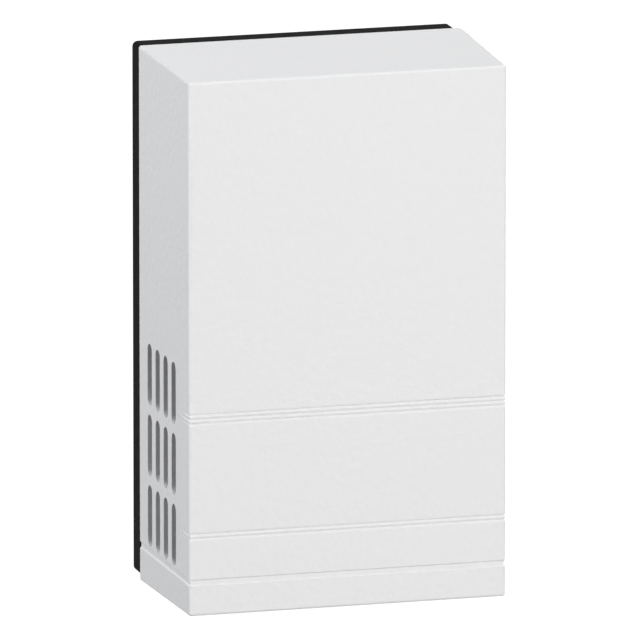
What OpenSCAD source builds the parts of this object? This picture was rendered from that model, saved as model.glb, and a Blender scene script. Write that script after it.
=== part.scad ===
// Two-tone door chime: a sprung striker between two tone plates, inside a slotted wall box.
// Units are millimetres. The wall is the plane y = 0, the room lies towards -y, and +z is up.
// A depth is a distance from the wall, so a point at depth d has y = -d.

/* [Cover] */
// Width of the front face
front_w = 120; // [110:1:140]
// Height of the front face
front_h = 198.8; // [185:0.2:230]
// Depth of the cover from its rim to its front face
cover_d = 64.4; // [62:0.1:80]
// How far each side leans out from the front to the rim
side_lean = 1.5; // [0.5:0.1:3]
// How far the top and the bottom lean out from the front to the rim
end_lean = 1.3; // [0.4:0.1:2.5]
// Wall thickness of the cover
cover_wall = 2.2; // [1.8:0.1:3]
// Radius of the cover's outer edges
edge_r = 1; // [0.4:0.1:1.8]

/* [Grooves] */
// Height of the triple line's top above the lower edge of the front
triple_h = 76; // [60:0.2:90]
// Height of the double line's top above the lower edge of the front
double_h = 31.4; // [24:0.2:45]
// Height of the single line's top above the lower edge of the front
single_h = 13.8; // [8:0.2:20]
// Height of one V line
line_h = 1.65; // [1.2:0.05:2.5]
// Depth of every line
line_depth = 0.5; // [0.3:0.05:1]
// Flat floor of the single line
single_floor = 1.4; // [0.6:0.1:3]
// Plain wall between the ends of the upper lines, where they run out, and the first column of vents
line_stop = 2.2; // [1:0.1:8]

/* [Vents] */
// Columns of vents on each side
vent_cols = 4; // [2:1:4]
// Rows of vents on each side
vent_rows = 3; // [1:1:3]
// Width of a vent
vent_w = 5.5; // [3:0.1:7]
// Length of a vent
vent_l = 23.2; // [12:0.1:25]
// Spacing of the columns
vent_pitch_d = 10.4; // [8:0.1:11]
// Spacing of the rows
vent_pitch_h = 26.6; // [26:0.1:32]
// Depth of the first column behind the front face
vent_first = 20; // [12:0.5:24]
// Plain wall between the lowest vents and the single line
vent_lift = 0.8; // [0.5:0.1:6]

/* [Base] */
// Depth of the base that shows behind the cover
base_show = 13; // [9:0.1:20]
// How far the base stands in from the cover's rim
base_inset = 0.9; // [0.5:0.1:1.8]
// Corner radius of the base
base_corner_r = 2; // [1:0.1:4]
// Thickness of the base floor
floor_t = 2.6; // [2:0.1:4]
// Height of the upstand that the cover slips over
upstand_h = 8; // [5:0.5:12]
// Thickness of the upstand
upstand_t = 2; // [1.5:0.1:3]
// Gap between the upstand and the inside of the cover
upstand_gap = 0.6; // [0.5:0.05:1]
// Length of each snap bead on the upstand
bead_l = 16; // [8:1:30]
// Height of the snap beads above and below the middle
bead_h = 62; // [40:1:75]
// Gap between a snap bead and the inside of the cover
bead_gap = 0.1; // [0.05:0.01:0.2]

/* [Wall fixing] */
// Width of the keyhole's round entry
keyhole_d = 9; // [7:0.1:11]
// Width of the keyhole's neck and of the two lower slots
fixing_w = 4.6; // [4:0.1:6]
// Rise from the entry's middle to the neck's end
keyhole_rise = 9; // [7:0.5:12]
// Distance of the entry's middle below the top of the base
keyhole_drop = 21; // [17:0.5:24]
// Length of the two lower slots
slot_l = 10; // [8:0.5:14]
// Spacing of the two lower slots
slot_span = 64; // [50:1:66]
// Height of the two lower slots above the bottom of the base
slot_lift = 15; // [12:0.5:18]
// Width of the cable entry
cable_d = 12; // [8:0.5:14]
// Distance of the cable entry below the top of the base
cable_drop = 37; // [36:0.5:40]
// Wall and height of the collar round the cable entry
collar = 2; // [1.5:0.1:3]

/* [Tone plates] */
// Length of the long plate
plate_l = 150; // [130:1:160]
// Ratio of the two notes, where 1.26 is a major third
tone_ratio = 1.26; // [1.12:0.01:1.5]
// Width of both plates
plate_w = 40; // [30:1:46]
// Thickness of both plates
plate_t = 2.5; // [2:0.1:4]
// Corner radius of both plates
plate_corner_r = 4; // [1:0.5:8]
// Distance of the plates' facing sides from the side edges of the front
plate_edge = 17; // [15:0.5:20]
// Gap between the long plate's lower end and the inside of the cover
plate_end_gap = 6; // [4:0.5:10]
// Gap between the plates and the inside of the cover's front
plate_front_gap = 9; // [8:0.5:16]

/* [Plate hangers] */
// Hole in a plate for its rubber isolator
hanger_hole_d = 8; // [6:0.1:10]
// Neck of an isolator in its hanger's fork
hanger_neck_d = 6; // [4:0.1:7]
// Thickness of every isolator flange
hanger_flange_t = 1.6; // [1:0.1:3]
// How far an isolator flange reaches beyond its neck
hanger_lip = 2.2; // [1.5:0.1:3]
// Thickness of a hanger
hanger_t = 2.6; // [2:0.1:4]
// Width of a hanger
hanger_w = 15; // [13:0.5:20]
// Length of a hanger's fork beyond the isolator's middle
hanger_fork = 8; // [6:0.5:12]
// Foot of a hanger's rib along the floor
hanger_rib = 12; // [6:0.5:14]
// Gap round an isolator's necks
hanger_gap = 0.1; // [0.05:0.01:0.2]

/* [Striker] */
// Gap between the resting striker and the long plate
gap_low = 3; // [2:0.1:5]
// Gap between the resting striker and the short plate
gap_high = 8; // [5:0.1:11]
// Diameter of the plunger core
plunger_d = 8; // [6:0.1:10]
// Gap round the plunger in its bobbin
plunger_gap = 0.1; // [0.05:0.01:0.15]
// Length of the plunger core
core_l = 30; // [24:0.5:36]
// How far the core rests short of the coil's middle
core_lag = 9; // [6:0.5:10]
// Diameter of the left tip's stem, inside the spring
stem_d = 6.4; // [4.5:0.1:7]
// Diameter of the left tip's collar, where the spring seats
collar_d = 13.4; // [12.5:0.1:16]
// Thickness of the left tip's collar
collar_t = 2; // [1.5:0.1:3]
// Length of both rounded noses
nose_l = 3; // [2:0.1:4]
// Diameter of the spigots pressed into the core
spigot_d = 4; // [3:0.1:5]
// Length of the spigots pressed into the core
spigot_l = 6; // [4:0.5:9]

/* [Return spring] */
// Wire of the return spring
spring_wire = 0.7; // [0.5:0.05:0.9]
// Mean diameter of the return spring
spring_d = 10.8; // [10.6:0.1:11.4]
// Least spacing of the return spring's turns at rest
spring_pitch = 2.7; // [2.2:0.1:4]

/* [Solenoid] */
// Length of the bobbin
coil_l = 34; // [28:0.5:38]
// Diameter of the winding
coil_d = 25; // [20:0.5:27]
// Diameter of the bobbin's flanges
flange_d = 29; // [28:0.5:34]
// Thickness of the bobbin's flanges
flange_t = 1.8; // [1.2:0.1:3]
// Wall of the bobbin's tube
bobbin_wall = 1.3; // [0.8:0.1:2]
// Thickness of the tape over the winding
tape_t = 0.3; // [0.2:0.05:0.6]
// Thickness of the yoke's steel
yoke_t = 1.6; // [1:0.1:2.5]
// Width of the yoke's steel
yoke_w = 22; // [18:0.5:26]
// Width of the yoke's two fixing tabs
tab_w = 14; // [11:0.5:18]
// Hole in the yoke's ears for the plunger
ear_hole_d = 9.2; // [8.6:0.1:9.6]
// Distance between the yoke's right ear and the short plate
yoke_to_plate = 18; // [14:0.5:20]
// Gap between the coil and the yoke
yoke_gap = 0.1; // [0.05:0.01:0.3]

/* [Terminals] */
// Gap between the block screw's head and each pole
pole_gap = 0.6; // [0.4:0.1:2]
// Height of the terminal block
block_h = 22; // [20:0.5:26]
// Distance of the block's middle below the top of the base
block_drop = 60; // [59:0.5:64]
// Thickness of the block's foot
block_foot = 4; // [3:0.1:5]
// Outer diameter of a terminal barrel
barrel_d = 6.2; // [5.6:0.1:7]
// Bore of a terminal barrel for the bell wire
wire_bore_d = 3.6; // [3:0.1:4]
// Web left in the middle of a terminal barrel
barrel_web = 1; // [0.6:0.1:2]
// Plastic round a barrel and round a screw well
block_wall = 1.3; // [1:0.1:2]
// Depth of the screw wells beyond the barrel's middle
well_h = 9; // [8:0.5:11]
// Height of the pad under the block
pad_h = 2.6; // [1.5:0.1:4]

/* [Leads] */
// Diameter of the two coil leads
lead_d = 1.6; // [1.2:0.1:2]
// Width of the coil's solder tags
tag_w = 2.6; // [2:0.1:3.5]
// Thickness of the coil's solder tags
tag_t = 0.8; // [0.5:0.1:1]
// Length of a solder tag that stands clear
tag_l = 5; // [3:0.5:7]
// Spacing of the solder tags
tag_span = 8; // [6:0.5:10]

/* [Screws] */
// Shank of the fixing screws
screw_d = 3; // [2.5:0.1:3.5]
// Head of the fixing screws
head_d = 5.8; // [5:0.1:6.5]
// Height of the fixing screws' heads
head_h = 2.2; // [1.6:0.1:3]
// Length of the fixing screws below the head
screw_l = 9; // [7:0.5:12]
// Plastic round a fixing screw in the base
boss_wall = 2.2; // [1.6:0.1:3]
// Shank of the terminal screws
clamp_d = 2.2; // [1.8:0.1:2.4]
// Gap round every screw
screw_gap = 0.1; // [0.05:0.01:0.15]

/* [View] */
// Sub-part to draw

/* [Hidden] */
$fn = 64;

// Steps of a rounded corner's outline
corner_steps = 6;
// Steps of the cover's rounded front edge
edge_steps = 5;
// Corner radius inside the cover
inner_r = 0.5;
// Share of its corner radius that the cover's front keeps
edge_keep = 0.2;
// How far the ridges between V lines lie below the wall's face
ridge_drop = 0.08;
// Slope of the single line's two walls, measured along the height
single_flank = 0.6;
// How far the cutters of the lines open beyond the wall's face
line_out = 0.5;
// Overshoot that carries a cut clear of what it cuts
over = 2;
// Overlap that welds two shapes of one moulding
weld = 0.5;
// Floor left under a blind screw hole
blind_floor = 1;
// Hole left beyond the end of a fixing screw
screw_spare = 1;
// Cross recess in a fixing screw's head: width, depth and share of the head
cross_w = 0.9;
cross_depth = 1.1;
cross_share = 0.6;
// Half the depth of a snap bead
bead_half = 1.2;

// Cover and base outlines
rim_w = front_w + 2 * side_lean;
rim_h = front_h + 2 * end_lean;
front_d = base_show + cover_d;
lean_angle = atan(side_lean / cover_d);
base_w = rim_w - 2 * base_inset;
base_h = rim_h - 2 * base_inset;
upstand_w = rim_w - 2 * (cover_wall + upstand_gap);
upstand_ht = rim_h - 2 * (cover_wall + upstand_gap);
tray_w = upstand_w - 2 * upstand_t;
tray_h = upstand_ht - 2 * upstand_t;
tray_top_d = base_show + upstand_h;
front_low_z = -front_h / 2;
vent_low_z = front_low_z + single_h + vent_lift;
line_run = vent_first - vent_w / 2 - line_stop;
v_lift = line_out * line_h / 2 / line_depth;
flat_lift = line_out * single_flank / line_depth;
flat_h = 2 * single_flank + single_floor;
bead_d = base_show + upstand_h / 2;
bead_out = upstand_gap - side_lean * upstand_h / 2 / cover_d - bead_gap;

// Tone plates: a bar that rings free is still at two points, and its note falls as its length squared
plate_low_l = plate_l;
plate_high_l = plate_l / sqrt(tone_ratio);
still_share = 0.2758;
axis_d = front_d - cover_wall - plate_front_gap - plate_w / 2;
axis_z = cover_wall + end_lean + plate_end_gap + plate_l / 2 - rim_h / 2;
plate_x = front_w / 2 - plate_edge;
hanger_x = plate_x - hanger_flange_t;
hanger_rib_gap = 2;
hanger_rib_toe = 1;
hanger_bevel = 0.6;

// Solenoid, laid from the short plate towards the long one
ear_right_x = plate_x - yoke_to_plate;
coil_right_x = ear_right_x - yoke_t - yoke_gap;
coil_left_x = coil_right_x - coil_l;
coil_x = coil_right_x - coil_l / 2;
ear_left_x = coil_left_x - yoke_gap - yoke_t;
yoke_front_d = axis_d - flange_d / 2 - yoke_gap;
yoke_back_d = yoke_front_d - yoke_t;
bobbin_bore_d = plunger_d + 2 * plunger_gap;
bobbin_tube_d = bobbin_bore_d + 2 * bobbin_wall;
head_room = 1;
tab_reach = flange_d / 2 + head_d / 2 + head_room;
tab_edge = 0.6;
tab_corner_r = 2;
web_drop = 3;
lug_h = 4;
lug_step = 2;
lug_edge = 1.2;
lug_t = flange_t + lug_step;
lug_w = tag_span + tag_w + 2 * lug_edge;
lug_top_z = axis_z + flange_d / 2 + lug_h;
tag_seat = 3;
tag_x = coil_right_x - lug_t / 2;

// Striker, from the nose that meets the long plate to the nose that meets the short one
tip_low_x = gap_low - plate_x;
tip_high_x = plate_x - gap_high;
seat_x = tip_low_x + nose_l + collar_t;
core_x = coil_x - core_lag - core_l / 2;
spigot_gap = 0.02;

// Terminal block
block_z = base_h / 2 - block_drop;
block_back_d = floor_t + pad_h;
barrel_lift = 0.6;
barrel_axis_d = block_back_d + block_foot + barrel_lift;
tunnel_d = barrel_d + 2 * (screw_gap + block_wall);
driver_gap = 0.9;
well_d = clamp_d + 2 * driver_gap;
tower_d = well_d + 2 * block_wall;
well_top_d = barrel_axis_d + well_h;
clamp_offset = (block_h / 2 + barrel_web / 2) / 2;
pole_span = tunnel_d + head_d + 2 * pole_gap;
block_w = pole_span + tunnel_d;
clamp_l = 6.4;
clamp_slot = 0.7;
clamp_slot_depth = 1;
clamp_gap = 0.05;

// Leads: length inside a barrel, straight length at each end, and route points between the two ends,
// each as a share of the way and a drop below the straight line
lead_inset = 8;
lead_straight = 3.5;
lead_start = 1;
lead_route = [[0.3, 1], [0.6, 3], [0.85, 3.5]];
lead_sides = 8;
lead_steps = 5;
spring_sides = 6;
spring_rings = 8;
bend_steps = 4;
spring_bend = 1.1;

// Draws a front-view outline as a solid that stands between two depths
module stand(from, to) {
  translate([0, -from, 0])
  rotate([90, 0, 0])
  linear_extrude(to - from)
  children();
}

// Draws an outline of depth and height as a plate of a given thickness, from x towards +x
module side_plate(x, thickness) {
  translate([x, 0, 0])
  rotate([90, 0, 90])
  linear_extrude(thickness)
  mirror([1, 0])
  children();
}

// Lays what is built along +z along +x instead, from a point given as x, depth and height
module along_x(x, d, z) {
  translate([x, -d, z])
  rotate([0, 90, 0])
  children();
}

// Turns what is built along +z to point into the room, from a point given as x, depth and height
module into_room(x, d, z) {
  translate([x, -d, z])
  rotate([90, 0, 0])
  children();
}

// Points of an arc
function arc(cx, cy, r, from, to, steps) = [
  for (k = [0:steps])
    let (a = from + (to - from) * k / steps)
    [cx + r * cos(a), cy + r * sin(a)]
];

// Outline of a rectangle with rounded corners, drawn anticlockwise about the origin
function round_rect(w, h, r) = concat(
  arc(w / 2 - r, h / 2 - r, r, 0, 90, corner_steps),
  arc(r - w / 2, h / 2 - r, r, 90, 180, corner_steps),
  arc(r - w / 2, r - h / 2, r, 180, 270, corner_steps),
  arc(w / 2 - r, r - h / 2, r, 270, 360, corner_steps)
);

// Slot that stands upright on the origin
module slot(w, l) {
  translate([-w / 2, w / 2])
  square([w, l - w]);
  translate([0, w / 2])
  circle(d = w);
  translate([0, l - w / 2])
  circle(d = w);
}

// Closed skin over rings of points, each ring drawn anticlockwise as seen from the last ring's end
module loft(rings) {
  n = len(rings[0]);
  last = len(rings) - 1;
  walls = [
    for (i = [0:last - 1], k = [0:n - 1])
      let (a = i * n + k, b = i * n + (k + 1) % n)
      each [[a, a + n, b + n], [a, b + n, b]]
  ];
  first_cap = [for (k = [0:n - 1]) k];
  last_cap = [for (k = [n - 1:-1:0]) last * n + k];
  polyhedron([for (r = rings) each r], concat([first_cap], walls, [last_cap]));
}

// Unit vector along v
function unit(v) = v / norm(v);

// Direction of a path at one of its points
function heading(path, i) = unit(path[min(i + 1, len(path) - 1)] - path[max(i - 1, 0)]);

// Round tube along a path, with its first side turned towards the given directions
module tube(path, sides_to, d, sides) {
  rings = [
    for (i = [0:len(path) - 1])
      let (t = heading(path, i), n = unit(sides_to[i] - (sides_to[i] * t) * t), b = cross(t, n))
      [for (k = [0:sides - 1]) path[i] + d / 2 * (cos(360 * k / sides) * n + sin(360 * k / sides) * b)]
  ];
  loft(rings);
}

// Outline of the cover at a distance from its rim, drawn in by an inset
function cover_ring(s, inset, r) = [
  for (p = round_rect(
    rim_w - 2 * (side_lean * s / cover_d + inset),
    rim_h - 2 * (end_lean * s / cover_d + inset),
    r
  ))
    [p[0], -(base_show + s), p[1]]
];

// The cover's outside, with its edges rounded
module cover_outside() {
  edge = [
    for (k = [0:edge_steps])
      let (a = 90 * k / edge_steps, keep = edge_keep + (1 - edge_keep) * cos(a))
      cover_ring(cover_d - edge_r * (1 - sin(a)), edge_r * (1 - cos(a)), edge_r * keep)
  ];
  loft(concat([cover_ring(0, 0, edge_r)], edge));
}

// The cover's hollow
module cover_hollow() {
  loft([cover_ring(-over, cover_wall, inner_r), cover_ring(cover_d - cover_wall, cover_wall, inner_r)]);
}

// Profile of a set of V lines below a height, as depth into the wall and height
function v_lines(count, top) = concat(
  [for (k = [0:count - 1]) each [
    k == 0 ? [-line_out, top + v_lift] : [ridge_drop, top - k * line_h],
    [line_depth, top - (k + 0.5) * line_h]
  ]],
  [[-line_out, top - count * line_h - v_lift]]
);

// Profile of the single flat-floored line below a height
function flat_line(top) = [
  [-line_out, top + flat_lift],
  [line_depth, top - single_flank],
  [line_depth, top - single_flank - single_floor],
  [-line_out, top - flat_h - flat_lift]
];

// Cutter for a set of lines across the front and back along both sides, where they lose the depth given by fade
module line_cut(profile, run, fade) {
  translate([-front_w, -front_d, 0])
  rotate([90, 0, 90])
  linear_extrude(2 * front_w)
  polygon(profile);
  for (side = [0, 1]) {
    mirror([side, 0, 0])
    translate([front_w / 2, -front_d, 0])
    rotate([0, 0, -lean_angle - atan(fade / run)])
    translate([0, run + over, 0])
    rotate([90, 0, 0])
    linear_extrude(run + 2 * over)
    mirror([1, 0])
    polygon(profile);
  }
}

// Cutter for the vents of both sides
module vent_cut() {
  side_plate(-rim_w, 2 * rim_w) {
    for (c = [0:vent_cols - 1], r = [0:vent_rows - 1]) {
      translate([front_d - vent_first - c * vent_pitch_d, vent_low_z + r * vent_pitch_h])
      slot(vent_w, vent_l);
    }
  }
}

module front_cover() {
  color("whitesmoke")
  difference() {
    cover_outside();
    cover_hollow();
    line_cut(v_lines(3, front_low_z + triple_h), line_run, line_depth);
    line_cut(v_lines(2, front_low_z + double_h), line_run, line_depth);
    line_cut(flat_line(front_low_z + single_h), cover_d, 0);
    vent_cut();
  }
}

// Hollow tray with the upstand that the cover slips over
module base_tray() {
  difference() {
    union() {
      stand(0, base_show)
      polygon(round_rect(base_w, base_h, base_corner_r));
      stand(base_show - weld, tray_top_d)
      polygon(round_rect(upstand_w, upstand_ht, base_corner_r));
    }
    stand(floor_t, tray_top_d + over)
    polygon(round_rect(tray_w, tray_h, base_corner_r));
  }
}

// Low ridges on the upstand that hold the cover on
module snap_beads() {
  for (side = [0, 1], z = [-bead_h, bead_h]) {
    mirror([side, 0, 0])
    translate([upstand_w / 2, -bead_d, z - bead_l / 2])
    linear_extrude(bead_l)
    polygon([[-weld, bead_half], [0, bead_half], [bead_out, 0], [0, -bead_half], [-weld, -bead_half]]);
  }
}

// Upright that holds one isolator in an open fork, with a rib towards the middle of the box
module hanger(side, z) {
  difference() {
    side_plate(side > 0 ? hanger_x - hanger_t : -hanger_x, hanger_t)
    translate([floor_t - weld, z - hanger_w / 2])
    square([axis_d + hanger_fork - floor_t + weld, hanger_w]);
    side_plate(side > 0 ? hanger_x - hanger_t - over : -hanger_x - over, hanger_t + 2 * over) {
      translate([axis_d, z])
      circle(d = hanger_neck_d + 2 * hanger_gap);
      translate([axis_d, z - hanger_neck_d / 2 - hanger_gap])
      square([hanger_fork + over, hanger_neck_d + 2 * hanger_gap]);
    }
  }
  rib_top_d = axis_d - hanger_neck_d / 2 - hanger_lip - hanger_rib_gap;
  rib_x = side * (hanger_x - hanger_t / 2);
  foot_x = side * (hanger_x - hanger_t - hanger_rib);
  translate([0, 0, z - hanger_t / 2])
  linear_extrude(hanger_t)
  polygon([
    [rib_x, weld - floor_t],
    [foot_x, weld - floor_t],
    [foot_x, -floor_t - hanger_rib_toe],
    [rib_x, -rib_top_d]
  ]);
}

// Heights of a plate's two still points
function still_z(length) = [axis_z - still_share * length, axis_z + still_share * length];

// Pillar for a fixing screw, with its pilot hole, from the floor to a depth
module boss(x, z, top_d) {
  difference() {
    into_room(x, floor_t - weld, z)
    cylinder(h = top_d - floor_t + weld, d = screw_d + 2 * (screw_gap + boss_wall));
    into_room(x, top_d - screw_l, z)
    cylinder(h = screw_l + over, d = screw_d + 2 * screw_gap);
  }
}

// Web that ties the two yoke bosses together
module boss_web() {
  translate([coil_x, 0, axis_z])
  stand(floor_t - weld, yoke_back_d - web_drop)
  square([hanger_t, 2 * tab_reach - screw_d - 2 * screw_gap - boss_wall], center = true);
}

// Holes through the base for the wall screws and the cable
module base_holes() {
  translate([0, 0, base_h / 2 - keyhole_drop])
  stand(-over, floor_t + over) {
    circle(d = keyhole_d);
    translate([-fixing_w / 2, 0])
    square([fixing_w, keyhole_rise]);
    translate([0, keyhole_rise])
    circle(d = fixing_w);
  }
  for (x = [-slot_span / 2, slot_span / 2]) {
    translate([x, 0, slot_lift - base_h / 2])
    stand(-over, floor_t + over)
    translate([slot_l / 2, 0])
    rotate(90)
    slot(fixing_w, slot_l);
  }
  translate([0, 0, base_h / 2 - cable_drop])
  stand(-over, floor_t + collar + over)
  circle(d = cable_d);
}

module back_plate() {
  color("dimgray")
  difference() {
    union() {
      base_tray();
      snap_beads();
      for (z = still_z(plate_low_l)) {
        hanger(-1, z);
      }
      for (z = still_z(plate_high_l)) {
        hanger(1, z);
      }
      for (z = [axis_z - tab_reach, axis_z + tab_reach]) {
        boss(coil_x, z, yoke_back_d);
      }
      boss_web();
      translate([0, 0, base_h / 2 - cable_drop])
      stand(floor_t - weld, floor_t + collar)
      circle(d = cable_d + 2 * collar);
      translate([0, 0, block_z])
      stand(floor_t - weld, block_back_d)
      square([block_w, block_h], center = true);
    }
    base_holes();
    into_room(0, blind_floor, block_z)
    cylinder(h = block_back_d + over, d = screw_d + 2 * screw_gap);
  }
}

// Steel strip bent to a U round the coil
module yoke_strip() {
  bend_r = yoke_t;
  translate([0, 0, axis_z - yoke_w / 2])
  linear_extrude(yoke_w)
  difference() {
    polygon(concat(
      [[ear_right_x, -axis_d - yoke_w / 2], [ear_left_x, -axis_d - yoke_w / 2]],
      arc(ear_left_x + bend_r, -yoke_back_d - bend_r, bend_r, 180, 90, corner_steps),
      arc(ear_right_x - bend_r, -yoke_back_d - bend_r, bend_r, 90, 0, corner_steps)
    ));
    translate([ear_left_x + yoke_t, -axis_d - yoke_w])
    square([ear_right_x - ear_left_x - 2 * yoke_t, axis_d + yoke_w - yoke_front_d]);
  }
}

// Outline that rounds the free ends of the yoke's ears
module ear_outline() {
  translate([axis_d, axis_z])
  circle(d = yoke_w);
  translate([yoke_back_d - over, axis_z - yoke_w / 2])
  square([axis_d - yoke_back_d + over, yoke_w]);
}

module solenoid_yoke() {
  color("silver")
  difference() {
    union() {
      intersection() {
        yoke_strip();
        side_plate(-rim_w, 2 * rim_w)
        ear_outline();
      }
      translate([coil_x, 0, axis_z])
      stand(yoke_back_d, yoke_front_d)
      polygon(round_rect(tab_w, 2 * (tab_reach + head_d / 2 + tab_edge), tab_corner_r));
    }
    along_x(-rim_w, axis_d, axis_z)
    cylinder(h = 2 * rim_w, d = ear_hole_d);
    for (z = [axis_z - tab_reach, axis_z + tab_reach]) {
      into_room(coil_x, yoke_back_d - over, z)
      cylinder(h = yoke_t + 2 * over, d = screw_d + 2 * screw_gap);
    }
  }
}

// Cross-headed screw that points at the wall, with the underside of its head on the origin
module fixing_screw(length) {
  difference() {
    union() {
      cylinder(h = head_h, d = head_d);
      translate([0, 0, -length])
      cylinder(h = length + weld, d = screw_d);
    }
    for (turn = [0, 90]) {
      rotate(turn)
      translate([-head_d * cross_share / 2, -cross_w / 2, head_h - cross_depth])
      cube([head_d * cross_share, cross_w, over]);
    }
  }
}

module yoke_screws() {
  color("lightgray")
  for (z = [axis_z - tab_reach, axis_z + tab_reach]) {
    into_room(coil_x, yoke_front_d, z)
    fixing_screw(yoke_t + screw_l - screw_spare);
  }
}

module coil_bobbin() {
  color("ivory")
  difference() {
    union() {
      along_x(coil_left_x, axis_d, axis_z)
      cylinder(h = coil_l, d = bobbin_tube_d);
      for (x = [coil_left_x, coil_right_x - flange_t]) {
        along_x(x, axis_d, axis_z)
        cylinder(h = flange_t, d = flange_d);
      }
      translate([coil_right_x - flange_t, -axis_d - lug_w / 2, axis_z + coil_d / 2])
      cube([flange_t, lug_w, flange_d / 2 + lug_h - coil_d / 2]);
      translate([coil_right_x - lug_t, -axis_d - lug_w / 2, axis_z + flange_d / 2])
      cube([lug_t, lug_w, lug_h]);
    }
    along_x(coil_left_x - over, axis_d, axis_z)
    cylinder(h = coil_l + 2 * over, d = bobbin_bore_d);
    for (y = [-tag_span / 2, tag_span / 2]) {
      translate([tag_x, y - axis_d, lug_top_z])
      cube([tag_t + 2 * screw_gap, tag_w + 2 * screw_gap, 2 * tag_seat], center = true);
    }
  }
}

// Ring on the coil's axis between its flanges
module coil_ring(outer, inner) {
  along_x(coil_left_x + flange_t, axis_d, axis_z)
  difference() {
    cylinder(h = coil_l - 2 * flange_t, d = outer);
    translate([0, 0, -over])
    cylinder(h = coil_l + 2 * over, d = inner);
  }
}

module coil_winding() {
  color("peru")
  coil_ring(coil_d, bobbin_tube_d + 2 * screw_gap);
}

module coil_tape() {
  color("gold")
  coil_ring(coil_d + 2 * (screw_gap + tape_t), coil_d + 2 * screw_gap);
}

module coil_tags() {
  color("goldenrod")
  for (y = [-tag_span / 2, tag_span / 2]) {
    translate([tag_x - tag_t / 2, y - axis_d - tag_w / 2, lug_top_z - tag_seat])
    cube([tag_t, tag_w, tag_seat + tag_l]);
  }
}

module plunger_core() {
  color("slategray")
  along_x(core_x, axis_d, axis_z)
  difference() {
    cylinder(h = core_l, d = plunger_d);
    for (end = [-over, core_l - spigot_l - screw_gap]) {
      translate([0, 0, end])
      cylinder(h = spigot_l + screw_gap + over, d = spigot_d + 2 * spigot_gap);
    }
  }
}

// Rounded nose of a striker tip, from the origin up
module nose(d) {
  nose_r = (nose_l * nose_l + d * d / 4) / (2 * nose_l);
  intersection() {
    translate([0, 0, -weld])
    cylinder(h = nose_l + weld, d = d);
    translate([0, 0, nose_l - nose_r])
    sphere(r = nose_r);
  }
}

module striker_tip_low() {
  color("white")
  along_x(tip_low_x + nose_l, axis_d, axis_z) {
    mirror([0, 0, 1])
    nose(plunger_d);
    cylinder(h = collar_t, d = collar_d);
    cylinder(h = core_x - tip_low_x - nose_l, d = stem_d);
    cylinder(h = core_x - tip_low_x - nose_l + spigot_l, d = spigot_d);
  }
}

module striker_tip_high() {
  color("white")
  along_x(core_x + core_l, axis_d, axis_z) {
    translate([0, 0, -spigot_l])
    cylinder(h = spigot_l + weld, d = spigot_d);
    cylinder(h = tip_high_x - nose_l - core_x - core_l, d = plunger_d);
    translate([0, 0, tip_high_x - nose_l - core_x - core_l])
    nose(plunger_d);
  }
}

// Return spring: straight ends along the axis, a quarter bend at each, and an even helix between
spring_r = spring_d / 2;
spring_rise = ear_left_x - seat_x;
bend_turn = spring_bend / spring_r * 180 / PI;
helix_rise = spring_rise - 2 * (spring_wire + spring_bend);
spring_turns = floor(helix_rise / spring_pitch);

// Point on the spring's cylinder at a distance from the seat and an angle
function spring_point(s, a) = [seat_x + s, spring_r * cos(a) - axis_d, axis_z + spring_r * sin(a)];

spring_ends = [
  for (k = [0:bend_steps])
    let (a = 90 * k / bend_steps)
    [spring_wire + spring_bend * sin(a), bend_turn * (1 - cos(a))]
];
spring_last = 2 * bend_turn + 360 * spring_turns;
spring_coil = [
  for (k = [1:spring_turns * spring_rings - 1])
    let (f = k / (spring_turns * spring_rings))
    [spring_wire + spring_bend + helix_rise * f, bend_turn + 360 * spring_turns * f]
];
spring_course = concat(
  [[0, 0]],
  spring_ends,
  spring_coil,
  [for (k = [bend_steps:-1:0]) [spring_rise - spring_ends[k][0], spring_last - spring_ends[k][1]]],
  [[spring_rise, spring_last]]
);
spring_path = [for (p = spring_course) spring_point(p[0], p[1])];
spring_outward = [for (p = spring_course) [0, cos(p[1]), sin(p[1])]];

// Least gap between windings that lie more than half a turn apart along the wire
spring_gaps = [
  for (i = [0:len(spring_path) - 1], j = [i + spring_rings / 2:len(spring_path) - 1])
    norm(spring_path[i] - spring_path[j]) - spring_wire
];
echo(spring_least_gap = min(spring_gaps));

module return_spring() {
  color("lightsteelblue")
  tube(spring_path, spring_outward, spring_wire, spring_sides);
}

// Tone plate of a given length with its two isolator holes, from x towards +x
module tone_plate(x, length) {
  side_plate(x, plate_t)
  difference() {
    translate([axis_d, axis_z])
    polygon(round_rect(plate_w, length, plate_corner_r));
    for (z = still_z(length)) {
      translate([axis_d, z])
      circle(d = hanger_hole_d);
    }
  }
}

module tone_plate_low() {
  color("silver")
  tone_plate(-plate_x - plate_t, plate_low_l);
}

module tone_plate_high() {
  color("silver")
  tone_plate(plate_x, plate_high_l);
}

// Rubber isolators of one plate, built along +z from the hanger's inner side to the plate's outer side
module isolators(side, length) {
  fork_r = hanger_neck_d / 2;
  hole_r = hanger_hole_d / 2 - hanger_gap;
  inner = hanger_flange_t;
  middle = inner + hanger_t;
  plate = middle + hanger_flange_t;
  outer = plate + plate_t;
  for (z = still_z(length)) {
    translate([side * (hanger_x - hanger_t - hanger_flange_t), -axis_d, z])
    rotate([0, 90 * side, 0])
    rotate_extrude()
    polygon([
      [0, 0],
      [fork_r + hanger_lip, 0],
      [fork_r + hanger_lip, inner],
      [fork_r, inner],
      [fork_r, middle],
      [hole_r + hanger_lip, middle],
      [hole_r + hanger_lip, plate],
      [hole_r, plate],
      [hole_r, outer],
      [hole_r + hanger_lip, outer],
      [hole_r + hanger_lip - hanger_bevel, outer + hanger_flange_t],
      [0, outer + hanger_flange_t]
    ]);
  }
}

module isolators_low() {
  color("darkslategray")
  isolators(-1, plate_low_l);
}

module isolators_high() {
  color("darkslategray")
  isolators(1, plate_high_l);
}

// Middles of the two terminal poles
pole_xs = [-pole_span / 2, pole_span / 2];
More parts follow.
